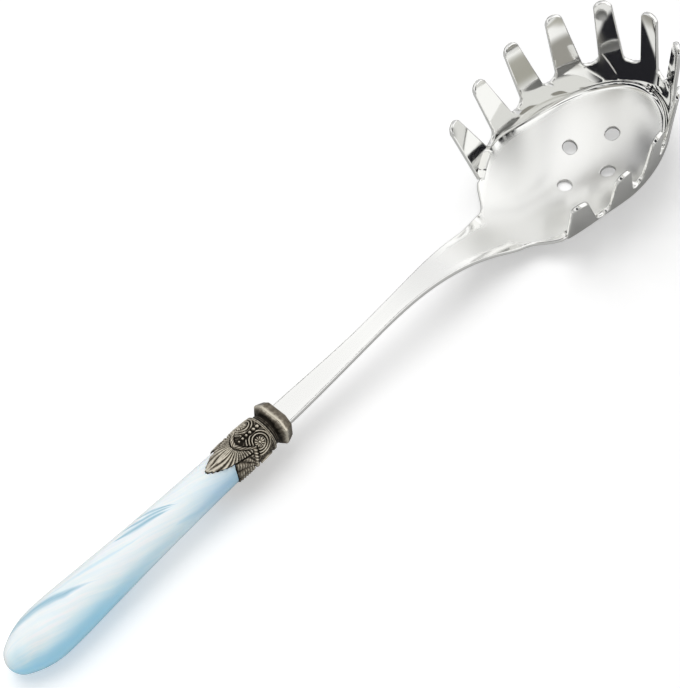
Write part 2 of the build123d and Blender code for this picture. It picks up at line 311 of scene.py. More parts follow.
def on_slope(angle, front_height, slope):
    """Frame where the wall's line at an angle meets a plane that falls away from the front."""
    turn = np.array(radians(angle))
    front_x = ring(np.array(0.0), np.array(front_height))[0]
    z = np.array(front_height)
    for _ in range(60):
        z = (z + front_height + tan(radians(slope)) * (ring(turn, z)[0] - front_x)) / 2
    return wall_frame(turn, z)


def tip_frame(angle):
    """Frame at the tip of the tine at this angle."""
    return on_slope(angle, front_tip_height * tip_height_shares[tine_angles.index(angle)], tip_line_slope)


def notch_side(tine_angle, notch_angle, side):
    """Edge of a tine from the bottom of a notch to its tip: arc, tangent line and quarter round.

    In the notch's plane the arc turns about its centre to the point where the line to the tip's
    shoulder touches it; both go onto the wall along the notch's outward direction.
    """
    place, aside, up, outward = on_slope(notch_angle, front_notch_height, notch_line_slope)
    tip, tip_aside, tip_up, _ = tip_frame(tine_angle)
    shoulder = tip - side * tip_half_width * tip_aside - tip_radius * tip_up
    run, rise = side * np.dot(shoulder - place, aside), np.dot(shoulder - place, up) - notch_radius
    touch = np.arctan2(rise, run) - np.arccos(notch_radius / np.hypot(run, rise))
    sweep = np.linspace(-np.pi / 2, touch, arc_rows + 1)
    arc_aside, arc_up = notch_radius * np.cos(sweep), notch_radius * (1 + np.sin(sweep))
    climb = np.linspace(0, 1, side_rows + 1)[1:]
    line_aside = arc_aside[-1] + (run - arc_aside[-1]) * climb
    line_up = arc_up[-1] + (rise + notch_radius - arc_up[-1]) * climb
    across = side * np.concatenate([arc_aside, line_aside])[:, None]
    upward = np.concatenate([arc_up, line_up])[:, None]
    turn, z = onto_wall(place + across * aside + upward * up, outward)
    round_turn, round_z = tip_round(tine_angle, -side)
    return np.concatenate([turn, round_turn]), np.concatenate([z, round_z])


def tip_round(tine_angle, side):
    """Quarter round of a tip on one side, from its shoulder to the top."""
    tip, aside, up, outward = tip_frame(tine_angle)
    sweep = np.linspace(0, np.pi / 2, tip_rows + 1)[1:, None]
    places = (tip + side * tip_half_width * np.cos(sweep) * aside + tip_radius * (np.sin(sweep) - 1) * up)
    return onto_wall(places, outward)


def shoulder_edge(front_z):
    """Rear edge of the last tine: straight from the shoulder to the tip, with rows at like heights."""
    foot_turn = np.array(radians(shoulder_angle))
    foot_z = fold_level(foot_turn)
    foot = ring(foot_turn, foot_z)
    tip, aside, up, _ = tip_frame(tine_angles[-1])
    top = tip + tip_half_width * aside - tip_radius * up
    rows = len(front_z) - tip_rows
    climb = (front_z[:rows] - front_z[0]) / (front_z[rows - 1] - front_z[0])
    places = foot + (top - foot) * climb[:, None]
    turn, z, _ = unring(places)
    round_turn, round_z = tip_round(tine_angles[-1], 1)
    return np.concatenate([turn, round_turn]), np.concatenate([z, round_z])


def fold_points(turn, lowest_notch):
    """The bend at each turn: its ends on the floor and the wall, the fold between, and half its angle.

    Its radius gives how far the ends lie from the fold, by the tangent of half the angle between
    floor and wall. It shrinks to nothing at the shoulder and stays under the notches.
    """
    z = fold_level(turn)
    at_fold = ring(turn, z)
    x, y, _ = np.moveaxis(at_fold, -1, 0)
    step = sheet_thickness / 100
    slope_x = (floor_height(x + step, y) - floor_height(x - step, y)) / (2 * step)
    slope_y = (floor_height(x, y + step) - floor_height(x, y - step)) / (2 * step)
    floor_up = unit(np.stack([-slope_x, -slope_y, 1 + 0 * x], -1))
    _, _, wall_up, outward = wall_frame(turn, z)
    half_angle = np.arccos(np.clip(-np.sum(floor_up * outward, -1), -1, 1)) / 2
    fading = smoothstep(0, radians(fold_fade), radians(shoulder_angle) - turn)
    setback = fold_radius * np.tan(half_angle) * fading
    setback = np.minimum(setback, 0.85 * (lowest_notch - z))
    inward = unit(np.cross(np.cross(floor_up, -outward), floor_up))
    inner = at_fold + setback[..., None] * inward
    on_floor = np.stack([inner[..., 0], inner[..., 1], floor_height(inner[..., 0], inner[..., 1])], -1)
    return on_floor, at_fold, at_fold[..., 2] + setback * wall_up[..., 2], half_angle


def tine_patch(index):
    """Grid of one tine with the wall under it: rows go from the floor round the bend and up to the tip.

    Each row runs straight in turn and height between the tine's two edges; under the notches
    the edges are the notches' own middle lines. The bend is a circle arc, written as a rational
    curve whose middle weight is the cosine of half its angle.
    """
    angle = tine_angles[index]
    if index < len(notch_angles):
        rear = notch_side(angle, notch_angles[index], -1)
        rear_turn = radians(notch_angles[index])
    if index:
        front = notch_side(angle, notch_angles[index - 1], 1)
        front_turn = radians(notch_angles[index - 1])
    else:
        front = (0 * rear[0], front_middle_rows(rear[1]))
        front_turn = 0.0
    if index == len(notch_angles):
        rear = shoulder_edge(front[1])
        rear_turn = radians(shoulder_angle)
    columns = tine_columns if index else tine_columns // 2
    share = np.linspace(0, 1, columns + 1)
    low_turn = front_turn + (rear_turn - front_turn) * share
    lowest_notch = front[1][0] * (1 - share) + rear[1][0] * share
    on_floor, at_fold, low_z, half_angle = fold_points(low_turn, lowest_notch)
    t, weight = np.linspace(0, 1, band_rows + 1)[:, None, None], np.cos(half_angle)[:, None]
    start, middle, end = (1 - t) ** 2, 2 * weight * t * (1 - t), t * t
    bend = (start * on_floor + middle * at_fold + end * ring(low_turn, low_z)) / (start + middle + end)
    turn = front[0][:, None] * (1 - share) + rear[0][:, None] * share
    z = front[1][:, None] * (1 - share) + rear[1][:, None] * share
    rise = np.linspace(0, 1, base_rows + 1)[1:-1, None]
    base = ring(low_turn * (1 - rise) + turn[0] * rise, low_z * (1 - rise) + z[0] * rise)
    return np.concatenate([bend, base, ring(turn, z)])


def front_middle_rows(edge_z):
    """Heights up the middle of the front tine, from level with its notch to its tip."""
    top = float(tip_frame(0.0)[0][2])
    return edge_z[0] + (top - edge_z[0]) * (edge_z - edge_z[0]) / (edge_z[-1] - edge_z[0])


def full_turn(columns):
    return np.linspace(0, 2 * np.pi, columns + 1)[:-1]


def spun(x, radius, turn):
    """Points round an axis from their place along it, their radius and their angle."""
    return np.stack([x + 0 * radius, radius * np.cos(turn), radius * np.sin(turn)], -1)


def closed(grid):
    return np.concatenate([grid, grid[:, :1]], 1)


def grid_faces(rows, columns, offset=0, flip=False):
    """Quads of a grid of points, row by row."""
    index = np.arange(rows * columns).reshape(rows, columns) + offset
    faces = np.stack([index[:-1, :-1], index[:-1, 1:], index[1:, 1:], index[1:, :-1]], -1).reshape(-1, 4)
    return faces[:, ::-1] if flip else faces


def neck_edge(x):
    """Half width of the shank and neck."""
    turn = np.array(radians(shoulder_angle))
    foot = ring(turn, fold_level(turn))
    outer_x, outer_y = foot[:2] + sheet_thickness * np.array([np.cos(turn), np.sin(turn)])
    run = outer_x - seat_x
    stations = [seat_x - shank_width, seat_x, seat_x + waist_x_share * run,
                *(seat_x + share * run for share in edge_x_shares), float(foot[0])]
    widths = [shank_width / 2, shank_width / 2, waist_width / 2,
              *(y * outer_y for y in edge_y_shares), float(foot[1])]
    return smooth_line(stations, widths)(x)


def floor_patch(rim_places):
    """Grid of the floor, neck and shank: rows across at each column of the wall, and on back to the seat."""
    foot_x = rim_places[-1, 0]
    back = np.linspace(seat_x - tang_overlap, foot_x, shank_rows + 1)[:-1]
    row_x = np.concatenate([back, rim_places[::-1, 0]])
    row_half = np.concatenate([neck_edge(back), rim_places[::-1, 1]])
    across = np.linspace(-1, 1, floor_columns + 1)
    x = row_x[:, None] + 0 * across
    y = row_half[:, None] * across
    return np.stack([x, y, floor_height(x, y)], -1)


def hole_places():
    """Middles of the four drain holes."""
    middle = bowl_centre_x + hole_group_reach
    return [(middle - hole_spacing_along / 2, 0), (middle + hole_spacing_along / 2, 0),
            (middle, hole_spacing_across / 2), (middle, -hole_spacing_across / 2)]


def floor_with_holes(grid):
    """Points and faces of the floor, with a ring of quads round each hole in place of a block of the grid.

    Each point on the block's border goes with the point of the hole's circle at its own angle.
    """
    rows, columns = grid.shape[:2]
    index = np.arange(rows * columns).reshape(rows, columns)
    kept = np.ones((rows - 1, columns - 1), bool)
    points, faces, rings = [grid.reshape(-1, 3)], [], 5
    count = rows * columns
    for x, y in hole_places():
        row_in = np.flatnonzero(abs(grid[:, columns // 2, 0] - x) < hole_margin * hole_radius)
        middle_row = row_in[len(row_in) // 2]
        column_in = np.flatnonzero(abs(grid[middle_row, :, 1] - y) < hole_margin * hole_radius)
        r0, r1, c0, c1 = row_in[0], row_in[-1], column_in[0], column_in[-1]
        kept[r0:r1, c0:c1] = False
        border = np.concatenate(
            [index[r0, c0:c1], index[r0:r1, c1], index[r1, c1:c0:-1], index[r1:r0:-1, c0]])
        outer = grid.reshape(-1, 3)[border][:, :2]
        angle = np.arctan2(outer[:, 1] - y, outer[:, 0] - x)
        inner = np.stack([x + hole_radius * np.cos(angle), y + hole_radius * np.sin(angle)], -1)
        t = np.linspace(0, 1, rings + 1)[1:, None, None]
        flat = outer * (1 - t) + inner * t
        level = floor_height(flat[..., 0], flat[..., 1])
        points.append(np.concatenate([flat, level[..., None]], -1).reshape(-1, 3))
        added = count + np.arange(rings * len(border))
        ring_index = np.concatenate([border[None], added.reshape(rings, -1)])
        count += rings * len(border)
        following = np.roll(ring_index, -1, axis=1)
        quads = np.stack([ring_index[:-1], following[:-1], following[1:], ring_index[1:]], -1)
        faces.append(quads.reshape(-1, 4))
    faces.append(grid_faces(rows, columns).reshape(rows - 1, columns - 1, 4)[kept])
    return np.concatenate(points), np.concatenate(faces)[:, ::-1]


def merged(points, faces):
    """Welds points that lie at one place. Faces that this leaves with fewer than three corners are dropped
    later, in make_piece.
    """
    _, first, index = np.unique(np.round(points, 4), axis=0, return_index=True, return_inverse=True)
    faces = index.ravel()[faces]
    return points[first], faces


def face_normals(points, faces):
    """Normals of four-sided faces: the cross product of their diagonals."""
    a, b, c, d = np.moveaxis(points[faces], 1, 0)
    return np.cross(c - a, d - b)


def point_normals(points, faces):
    """Normals at the points: the sum of the normals of the faces round each, weighted by area."""
    total = np.zeros_like(points)
    normal = face_normals(points, faces)
    for corner in range(4):
        np.add.at(total, faces[:, corner], normal)
    return unit(total)


def border_edges(faces):
    """Directed edges that only one face uses."""
    edges = np.concatenate([faces[:, [i, (i + 1) % 4]] for i in range(4)])
    edges = edges[edges[:, 0] != edges[:, 1]]
    key = np.sort(edges, axis=1)
    _, index, counts = np.unique(key, axis=0, return_inverse=True, return_counts=True)
    return edges[counts[index.ravel()] == 1]


def sheet_solid(points, faces, thickness, rounding, steps=3):
    """Gives a surface its thickness below. Its edges are two quarter circles with a straight side between."""
    normal = point_normals(points, faces)
    edges = border_edges(faces)
    out = np.zeros_like(points)
    across = np.cross(points[edges[:, 1]] - points[edges[:, 0]], normal[edges[:, 0]])
    np.add.at(out, edges[:, 0], unit(across))
    np.add.at(out, edges[:, 1], unit(across))
    rim = np.unique(edges)
    out = unit(out[rim])
    thick = thickness(points)[:, None]
    under = points - normal * thick
    lookup = np.full(len(points), -1)
    lookup[rim] = np.arange(len(rim))
    rim_points, rim_normal, rim_thick = points[rim], normal[rim], thick[rim]
    sweep = np.linspace(0, np.pi / 2, steps + 1)
    quarter_round = list(zip(rounding * (1 - np.sin(sweep)), rounding * (1 - np.cos(sweep))))
    rows = [rim_points - out * inset - rim_normal * depth for inset, depth in quarter_round]
    rows += [rim_points - out * inset - rim_normal * (rim_thick - depth)
             for inset, depth in quarter_round[::-1]]
    top, bottom = points.copy(), under
    top[rim], bottom[rim] = rows[0], rows[-1]
    count = len(points)
    between = [2 * count + i * len(rim) + np.arange(len(rim)) for i in range(len(rows) - 2)]
    indices = [rim, *between, count + rim]
    a, b = lookup[edges[:, 0]], lookup[edges[:, 1]]
    strips = [np.stack([up[b], up[a], down[a], down[b]], -1) for up, down in zip(indices, indices[1:])]
    all_points = np.concatenate([top, bottom, *rows[1:-1]])
    return all_points, np.concatenate([faces, faces[:, ::-1] + count, *strips])


def add_object(name, data):
    made = bpy.data.objects.new(name, data)
    bpy.context.scene.collection.objects.link(made)
    return made


def make_piece(name, points, faces, sharp=None, finish=None):
    """Mesh object with smooth faces, its place in the mesh, riding on the root body.

    The finish is a share at each point, which the piece's material reads as an attribute.
    """
    mesh = bpy.data.meshes.new(name)
    loops = [tuple(dict.fromkeys(face)) for face in faces.tolist()]
    mesh.from_pydata((points * MM).tolist(), [], [face for face in loops if len(face) > 2])
    mesh.shade_smooth()
    if sharp:
        mesh.set_sharp_from_angle(angle=radians(sharp))
    if finish is not None:
        attribute = mesh.attributes.new("finish", "FLOAT", "POINT")
        attribute.data.foreach_set("value", np.asarray(finish, np.float32))
    mesh.validate()
    piece = add_object(name, mesh)
    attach(piece, "root")
    return piece


def server_head():
    """Bowl, tines, neck and shank as one sheet. Its finish is 1 where the steel is satin."""
    patches = [tine_patch(index) for index in range(len(tine_angles))]
    rim = np.concatenate([patch[0, :-1] for patch in patches[:-1]] + [patches[-1][0]])
    floor_points, floor_faces = floor_with_holes(floor_patch(rim))
    points, faces, count = [floor_points], [floor_faces], len(floor_points)
    for patch in patches:
        for side in (1, -1):
            points.append(patch.reshape(-1, 3) * (1, side, 1))
            faces.append(grid_faces(*patch.shape[:2], offset=count, flip=side > 0))
            count += patch.shape[0] * patch.shape[1]
    points, faces = merged(np.concatenate(points), np.concatenate(faces))

    def thickness(places):
        x, _, z = places.T
        up_wall = smoothstep(sheet_thickness, rim_level, z)
        at_front = smoothstep(bowl_front_x - bend_zone_start, bowl_front_x - bend_zone_end, x)
        at_bend = at_front * smoothstep(front_notch_height, bend_zone_top, z)
        return thickness_line(x) - wall_thinning * up_wall - bend_thinning * at_bend

    points, faces = sheet_solid(points, faces, thickness, edge_rounding)
    turn, _, inside = unring(points)
    across = np.abs(points[:, 1]) / neck_edge(np.minimum(points[:, 0], bowl_back_x + sheet_thickness))
    behind = smoothstep(*np.radians(satin_angles), np.abs(turn))
    behind = behind * (1 - 0.9 * smoothstep(0.5, 0.75, across))
    satin = np.maximum(smoothstep(0.0, -0.1, inside), behind)
    satin = satin * (0.45 + 0.55 * smoothstep(bowl_back_x - satin_fade, bowl_back_x, points[:, 0]))
    piece = make_piece("head_steel", points, faces, sharp=50, finish=satin)
    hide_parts("server_head")
    return piece


def lay_down(points):
    """Turns points along the handle's axis up to its pitch and sets them at its height."""
    x, y, z = np.moveaxis(points, -1, 0)
    return np.stack([butt_x + x * np.cos(pitch) - z * np.sin(pitch), y,
                     axis_height + x * np.sin(pitch) + z * np.cos(pitch)], -1)


def handle():
    """Turned handle: the outline's radius carried round its axis, closed at both ends."""
    x, r = handle_outline(36)
    x = np.concatenate([x, [handle_length, handle_length]])
    r = np.concatenate([r, [handle_end_radius, 0]])
    turn = full_turn(handle_columns)
    points = closed(spun(x[:, None], r[:, None] + 0 * turn, turn))
    faces = grid_faces(*points.shape[:2], flip=True)
    points, faces = merged(points.reshape(-1, 3), faces)
    points[:, 0] += butt_trim * (1 - points[:, 0] / handle_length)
    piece = make_piece("pearl_handle", lay_down(points), faces, sharp=50)
    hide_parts("handle")
    return piece


# Ornament of the sleeve, in millimetres along it and round it from the top or bottom line to the side
relief_columns, relief_rows = 376, 216
quarter = np.pi / 2 * (handle_seat_radius + collar_wall / 2)
relief_ground = 0.08
crown_drop, crown_drop_x = 0.35, 88.5
scallop_depth = 0.55
fan_x = 85.2
leaf_veins, vein_lean = 16.0, 0.04
rib_half_width = 0.28
side_fan_inset = 1.2
side_veins = 8.0
side_ripple_pitch = 0.9
band_x, band_bend = 84.9, 0.22
stem_x, stem_fall = 88.9, 0.33
cord_half_width, cord_clearance = 0.85, 1.1
strand_pitch_around, strand_pitch_across = 0.95, 1.5
volute_x, volute_round = 91.0, 4.0
volute_radius = 4.15
volute_eye = 1.75
volute_pitch = 0.86
petal_turns = 5.5
bead_pitch, bead_count = 1.42, 6
bead_radius, bead_taper = 0.68, 0.05
bead_row_half_width = 0.95
first_bead_inset = 0.7
ring_x, ring_pitch = 94.5, 0.45

# Rows of the collar's neck: place past the rim, height over the neck, and finish. The low finish along the
# neck is partly patina in its grooves and partly painted shade between the sleeve and the flange.
neck_rows = ((0.12, 0.45, 0.3), (0.3, 0.2, 0.05), (0.55, 0.0, 0.0),
             (0.8, 0.16, 0.35), (1.05, 0.0, 0.0), (1.3, 0.16, 0.3))
buried_radius, buried_inset, buried_reach = 3.0, 0.3, 0.8
flange_power = 90


def leaf_edge(about):
    """Front edge of the sleeve by the way round from the leaf's middle: scalloped leaf, blunt side leaf."""
    leaf_y = np.array(leaf_y_shares) * leaf_half_width
    leaf = leaf_tip_x + leaf_length * np.interp(about, leaf_y, leaf_x_shares)
    lobe = np.interp(about, leaf_y, np.arange(len(leaf_y)))
    leaf = leaf - scallop_depth * np.abs(np.sin(1.5 * np.pi * lobe)) * smoothstep(0, 0.8, about)
    side = np.clip((about - leaf_half_width) / (quarter - leaf_half_width), 0, 1)
    blunt = leaf_tip_x + leaf_length - side_leaf_length * np.sqrt(1 - (1 - side) ** 2)
    return np.where(about < leaf_half_width, leaf, blunt)


def ridge(distance, half_width):
    """Rounded ridge: a half circle over the distance from its middle line."""
    return np.sqrt(np.clip(1 - (distance / half_width) ** 2, 0, 1))


def leaves(x, about):
    """Height of the leaf and the side leaf: veins that fan out from a base, with a groove between the two."""
    fan = np.arctan2(about, fan_x - x)
    reach = np.hypot(about, fan_x - x)
    vein = np.abs(np.sin(leaf_veins * (fan + vein_lean * reach))) ** 0.7
    edge = smoothstep(0, 0.5, x - leaf_edge(about))
    leaf = np.maximum((0.05 + 0.85 * vein) * edge, 0.95 * ridge(about, rib_half_width) * edge)
    side_fan = np.arctan2(quarter - about, stem_x - side_fan_inset - x)
    side_reach = np.hypot(quarter - about, stem_x - side_fan_inset - x)
    ripple = 0.72 + 0.28 * np.sin(2 * np.pi * side_reach / side_ripple_pitch)
    side = (0.1 + 0.75 * np.abs(np.sin(side_veins * side_fan)) ** 0.7 * ripple) * edge
    past_leaf = x - leaf_tip_x - leaf_length
    height = np.where(about < leaf_half_width + 0.9 * past_leaf / leaf_half_width, leaf, side)
    return height * smoothstep(0.12, 0.35, np.abs(about - leaf_half_width - 0.2 * past_leaf))


def volute(x, about):
    """Height of the scroll, a spiral round a rosette, and its share of the relief."""
    from_centre = np.hypot(x - volute_x, about - volute_round)
    turn = np.arctan2(about - volute_round, x - volute_x)
    whorl = (0.5 + 0.5 * np.cos(2 * np.pi * from_centre / volute_pitch - turn)) ** 0.8
    petal = 0.35 + 0.6 * np.abs(np.sin(petal_turns * turn)) * smoothstep(0.35, 0.7, from_centre)
    petal = petal * smoothstep(volute_eye, volute_eye - 0.3, from_centre)
    whorl = np.where(from_centre < volute_eye, petal, whorl) + 0.9 * ridge(from_centre, 0.4)
    inside = smoothstep(volute_radius + 0.15, volute_radius - 0.15, from_centre)
    return np.clip(whorl, 0, 1), inside


def relief(x, about):
    """Height of the ornament from 0 in the ground to 1 on the crests.

    Leaves are ridges that fan out from their base, cords are half rounds with slanting
    strands, the volute is the cosine of its radius less its turn, and beads are small domes.
    """
    band = x - band_x - band_bend * about ** 2
    stem = x - stem_x + stem_fall * (about - leaf_half_width)
    cord = np.where(about < leaf_half_width, band, stem)
    behind = cord > 0
    ground = 0.12 + 0.3 * np.abs(np.sin(2.6 * x + 3.2 * about)) ** 2 * smoothstep(0.8, 1.6, about)
    height = np.where(behind, ground, leaves(x, about))
    whorl, inside = volute(x, about)
    height = height + (whorl - height) * inside * behind

    strands = 0.72 + 0.28 * np.sin(2 * np.pi * (about / strand_pitch_around - cord / strand_pitch_across))
    height = np.where(np.abs(cord) < cord_clearance, ridge(cord, cord_half_width) * strands, height)

    first_bead_x = ring_x - first_bead_inset
    bead = np.clip(np.round((first_bead_x - x) / bead_pitch), 0, bead_count - 1)
    bead_distance = np.hypot(x - first_bead_x + bead * bead_pitch, about)
    near_row = (about < bead_row_half_width) & (x > band_x + 0.9)
    height = np.where(near_row, ridge(bead_distance, bead_radius - bead_taper * bead), height)
    rings = 0.25 + 0.6 * np.abs(np.sin(np.pi * (x - ring_x) / ring_pitch))
    return np.where(x > ring_x, rings, height)


def collar_sleeve():
    """Cast sleeve with its relief, and the neck that joins it to the flange.

    Rows run from the leaf edge to the rim. The radius is the handle's own plus the ornament's
    share of the wall, and the finish is the ornament's height. Two buried rings close the shell.
    """
    turn = full_turn(relief_columns)
    from_top = np.abs((turn + np.pi / 2) % np.pi - np.pi / 2)
    about = quarter * (1 - from_top / (np.pi / 2))
    start = leaf_edge(about)
    x = start + (rim_x - start) * np.linspace(0, 1, relief_rows)[:, None]
    height = relief(x, about + 0 * x)
    seat_share = (x - leaf_tip_x) / (handle_length - leaf_tip_x)
    under = handle_seat_radius + (handle_end_radius - handle_seat_radius) * seat_share
    crown = handle_seat_radius + collar_wall - crown_drop * smoothstep(crown_drop_x, rim_x + 1.5, x)
    radius = under + relief_ground + (crown - under - relief_ground) * height
    # The neck's rows give it a low finish: patina in its grooves and painted shade between the sleeve and the
    # flange.
    neck = [(rim_x + past, collar_neck_radius + over, finish) for past, over, finish in neck_rows]
    neck += [(flange_back_x, collar_neck_radius, 0.0), (flange_back_x + buried_reach, handle_end_radius, 0.0),
             (flange_back_x + buried_reach, buried_radius, 0.0)]
    buried_edge = (start, handle_end_radius - buried_inset, 0.0)
    buried_ring = (start + 1, buried_radius, 0.0)
    rows = [buried_edge, *zip(x, radius, height), *neck, buried_ring, buried_edge]
    along, radius, finish = (np.array([row[i] + 0 * turn for row in rows]) for i in range(3))
    points = spun(along, radius, turn)
    points, finish = points[:-1].reshape(-1, 3), finish[:-1].ravel()
    index = np.arange(len(points)).reshape(-1, len(turn))
    index = closed(np.concatenate([index, index[:1]]))
    faces = np.stack([index[:-1, :-1], index[1:, :-1], index[1:, 1:], index[:-1, 1:]], -1).reshape(-1, 4)
    piece = make_piece("collar_sleeve", lay_down(points), faces[:, ::-1], finish=finish)
    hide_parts("collar")
    return piece


def softened(rows):
    """Cuts corners: each inner row gives way to two, a quarter of the way along both its sides."""
    a, b = rows[:-1], rows[1:]
    cut = np.stack([0.75 * a + 0.25 * b, 0.25 * a + 0.75 * b], 1).reshape(-1, rows.shape[1])
    return np.concatenate([rows[:1], cut[1:-1], rows[-1:]])


def collar_flange():
    """Flange between collar and shank: a rectangle with cut corners, drawn in at both faces.

    The section's radius at each turn is a smooth minimum over its eight sides, the power mean of
    cosine over distance. Each row has a place, an inset, a scale and its finish, and the edges
    at the rows are softened. The finish is partly wear and partly painted light: a painted
    highlight on the ridge, painted shade on the bevels and the back face.
    """
    back_x, front_x = flange_back_x, flange_front_x
    back_inset, front_inset = flange_back_inset, flange_front_inset
    wide_x = back_x + flange_back_bevel
    land_x = wide_x + flange_land
    # Row finish: high on the ridge and land, low on the bevels and back face. This is wear, with a painted
    # highlight on the ridge and painted shade on the bevels and back.
    rows = [(back_x + 0.3, back_inset, 0, 0), (back_x, back_inset, 0.75, 0), (back_x, back_inset, 0.97, 0),
            (back_x + 0.1, back_inset - 0.1, 1, 0.1), (wide_x - 0.9, 0.9, 1, 0.25),
            (wide_x - 0.15, 0.15, 1, 0.85), (wide_x, 0.03, 1, 1),
            (land_x, 0, 1, 1), (land_x + 0.25, 0.08, 1, 0.55), (front_x - 0.25, front_inset - 0.1, 1, 0.4),
            (front_x, front_inset, 0.985, 0.7), (front_x, front_inset, 0.93, 0.35),
            (front_x, front_inset, 0, 0.3)]
    x, inset, scale, finish = softened(np.array(rows, float)).T[:, :, None]
    turn = full_turn(flange_columns)
    half_y, half_z = flange_width / 2 - inset, flange_height / 2 - inset
    slant = (half_y + half_z - flange_corner + inset / 2) / np.sqrt(2)
    total = 0
    for side in range(8):
        distance = slant if side % 2 else (half_z if side % 4 else half_y)
        total = total + (np.clip(np.cos(turn - side * np.pi / 4), 0, 1) / distance) ** flange_power
    radius = scale * total ** (-1 / flange_power)
    points = closed(spun(x, radius, turn))
    finish = closed(finish + 0 * turn).ravel()
    faces = grid_faces(*points.shape[:2], flip=True)
    points = points.reshape(-1, 3)
    _, first = np.unique(np.round(points, 4), axis=0, return_index=True)
    points, faces = merged(points, faces)
    piece = make_piece("collar_flange", lay_down(points), faces, finish=finish[first])
    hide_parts("collar")
    return piece


# Colours in linear light
steel_tones = ((0.90, 0.90, 0.885, 1), (0.93, 0.93, 0.92, 1))
pearl_whites = ((0.93, 0.97, 0.99, 1), (0.83, 0.93, 0.98, 1))
faint_streak_blue = (0.55, 0.77, 0.89, 1)
strong_streak_blue = (0.31, 0.55, 0.67, 1)
# Painted sheen blue for the handle's lower edge and butt.
painted_sheen_blue = (0.36, 0.74, 0.98, 1)
leaf_end_blue = (0.33, 0.60, 0.80, 1)
# Patina and wear on the sleeve's relief. On the flange and neck these also give painted shade and a painted
# highlight.
patina_and_shade_brown = (0.018, 0.015, 0.011, 1)
dull_silver = (0.19, 0.165, 0.13, 1)
wear_and_highlight_silver = (0.66, 0.61, 0.51, 1)
cement_greys = ((0.36, 0.34, 0.30, 1), (0.56, 0.54, 0.50, 1))

# Streaks of the handle: start and length along it, turn at the start, rise to the end, and half width
strong_streaks = ((3, 31, -107, 100, 19), (43, 19, -66, 46, 12), (46, 17, -80, 60, 10), (51, 12, -85, 66, 9))
faint_streaks = ((20, 34, -70, 55, 8), (2, 30, 20, 45, 12), (58, 22, 20, 38, 14))
streak_lean = 36.0


def feed(tree, socket, value):
    """Links an input to another node, or sets its value."""
    if isinstance(value, bpy.types.NodeSocket):
        tree.links.new(value, socket)
    else:
        socket.default_value = value


def feed_all(tree, node, inputs):
    for name, value in inputs.items():
        feed(tree, node.inputs[name], value)


def add_node(tree, kind, *inputs, **settings):
    """Shader node with its settings and its inputs in order: links, values, or None to leave one alone."""
    made = tree.nodes.new("ShaderNode" + kind)
    for name, value in settings.items():
        setattr(made, name, value)
    for socket, value in zip(made.inputs, inputs):
        if value is not None:
            feed(tree, socket, value)
    return made


def maths(tree, operation, *inputs):
    return add_node(tree, "Math", *inputs, operation=operation).outputs[0]


def product(tree, value, *others):
    for other in others:
        value = maths(tree, "MULTIPLY", value, other)
    return value


def fade(tree, value, low, high, at_low=0.0, at_high=1.0):
    """Smooth step of a value between two limits."""
    return add_node(tree, "MapRange", value, low, high, at_low, at_high,
                    interpolation_type="SMOOTHSTEP").outputs[0]


def blend(tree, share, first, second):
    """Mixes two colours."""
    made = add_node(tree, "Mix")
    made.data_type = "RGBA"
    for index, value in ((0, share), (6, first), (7, second)):
        feed(tree, made.inputs[index], value)
    return made.outputs[2]


def noise(tree, place, scale, detail=3.0, roughness=0.5):
    made = add_node(tree, "TexNoise")
    feed_all(tree, made, {"Vector": place, "Scale": scale, "Detail": detail, "Roughness": roughness})
    return made.outputs["Fac"]


def finish_share(tree):
    """The finish that make_piece stores at each point."""
    return add_node(tree, "Attribute", attribute_name="finish").outputs["Fac"]


def material(name):
    made = bpy.data.materials.new(name)
    made.use_nodes = True
    tree = made.node_tree
    place = add_node(tree, "TexCoord").outputs["Object"]
    return made, tree, tree.nodes["Principled BSDF"], place


def steel_material():
    """Mirror polish with faint haze, fine scratches along the length, and satin where the finish says so."""
    made, tree, shader, place = material("mirror_steel")
    haze = noise(tree, place, 35.0)
    long_place = add_node(tree, "Mapping", place, None, None, (60.0, 900.0, 900.0)).outputs[0]
    lines = noise(tree, long_place, 1.0, 2.0)
    scratches = fade(tree, lines, 0.55, 0.8, 0.0, 0.03)
    polish = maths(tree, "ADD", fade(tree, haze, 0.35, 0.7, 0.035, 0.06), scratches)
    seen = add_node(tree, "LightPath").outputs["Is Camera Ray"]
    satin = product(tree, fade(tree, finish_share(tree), 0.0, 1.0, 0.0, 0.25), seen)
    feed_all(tree, shader, {"Base Color": blend(tree, haze, *steel_tones), "Metallic": 1,
                            "Roughness": maths(tree, "ADD", polish, satin)})
    return made


def streak_group():
    """Feathered streak on the handle, as a mask from the place along and round it."""
    group = bpy.data.node_groups.new("feathered_streak", "ShaderNodeTree")
    for name in ("Along", "Around", "Start", "Length", "Turn", "Rise", "Width"):
        group.interface.new_socket(name, in_out="INPUT", socket_type="NodeSocketFloat")
    group.interface.new_socket("Mask", in_out="OUTPUT", socket_type="NodeSocketFloat")
    given = group.nodes.new("NodeGroupInput").outputs
    past_start = maths(group, "SUBTRACT", given["Along"], given["Start"])
    share = maths(group, "DIVIDE", past_start, given["Length"])
    middle = maths(group, "MULTIPLY_ADD", share, given["Rise"], given["Turn"])
    swell = product(group, fade(group, share, -0.15, 0.25), fade(group, share, 1.0, 0.35))
    half = product(group, given["Width"], maths(group, "MAXIMUM", swell, 0.02))
    distance = maths(group, "DIVIDE", maths(group, "SUBTRACT", given["Around"], middle), half)
    feathered = fade(group, maths(group, "ABSOLUTE", distance), 1.1, 0.0)
    mask = product(group, feathered, fade(group, swell, 0.0, 0.5))
    feed(group, group.nodes.new("NodeGroupOutput").inputs["Mask"], mask)
    return group


def streaks(tree, group, along, around, rows):
    """Strongest of some streaks at each place."""
    strongest = 0.0
    for row in rows:
        streak = add_node(tree, "Group", along, around, *row, node_tree=group)
        strongest = maths(tree, "MAXIMUM", strongest, streak.outputs["Mask"])
    return strongest


